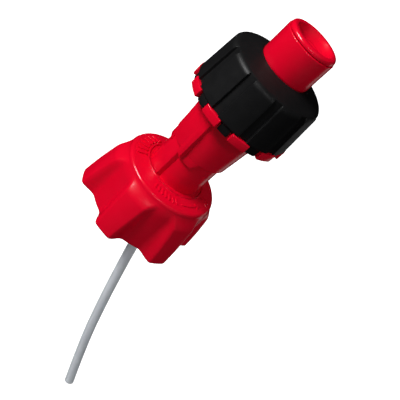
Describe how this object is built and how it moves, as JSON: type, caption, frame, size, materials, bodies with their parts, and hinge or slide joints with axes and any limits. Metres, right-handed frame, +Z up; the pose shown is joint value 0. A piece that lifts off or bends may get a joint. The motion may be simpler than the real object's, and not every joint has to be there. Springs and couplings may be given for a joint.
{
  "type": "canister filling spout",
  "caption": "Screw-on filling spout for a liquid canister: lobed cap, stem, spring-loaded sleeve with grip collar, valved nozzle and air tube.",
  "frame": {"origin": "centre of the star cap's mouth, where the canister's neck enters", "axes": "+Z up the spout's axis from the cap towards the nozzle, +X towards the side the air tube hangs to, +Y completes the frame"},
  "size_m": [0.0812, 0.0654, 0.2474],
  "materials": {
    "red_plastic": "glossy moulded red polypropylene",
    "black_plastic": "satin moulded black plastic",
    "rubber": "matt black nitrile rubber",
    "white_plastic": "natural acetal",
    "spring_steel": "drawn stainless steel",
    "clear_tube": "translucent polyethylene tube"
  },
  "bodies": {
    "cap": {"star_cap": "red_plastic"},
    "spout": {"stem": "red_plastic", "neck_gasket": "rubber", "stem_seal": "rubber", "base_insert": "white_plastic", "insert_seal": "rubber", "channel_plug": "white_plastic", "core_tube": "white_plastic", "guide_spider": "white_plastic", "valve_head": "red_plastic", "valve_seal": "rubber", "lower_spring_seat": "spring_steel", "return_spring": "spring_steel", "air_tube": "clear_tube"},
    "sleeve": {"sliding_sleeve": "red_plastic", "sleeve_wiper": "rubber", "nozzle_tube": "red_plastic", "upper_spring_seat": "spring_steel", "collar_seal": "rubber", "grip_collar": "black_plastic"}
  },
  "joints": [
    {"name": "spout_swivel", "type": "hinge", "parent": "cap", "child": "spout", "pos_m": [0, 0, 0.0285], "axis": [0, 0, 1], "continuous": true},
    {"name": "sleeve_push", "type": "slide", "parent": "spout", "child": "sleeve", "axis": [0, 0, -1], "range_m": [0, 0.012], "stiffness_N_per_m": 500, "springref_m": -0.012, "deforming": ["return_spring"]}
  ]
}
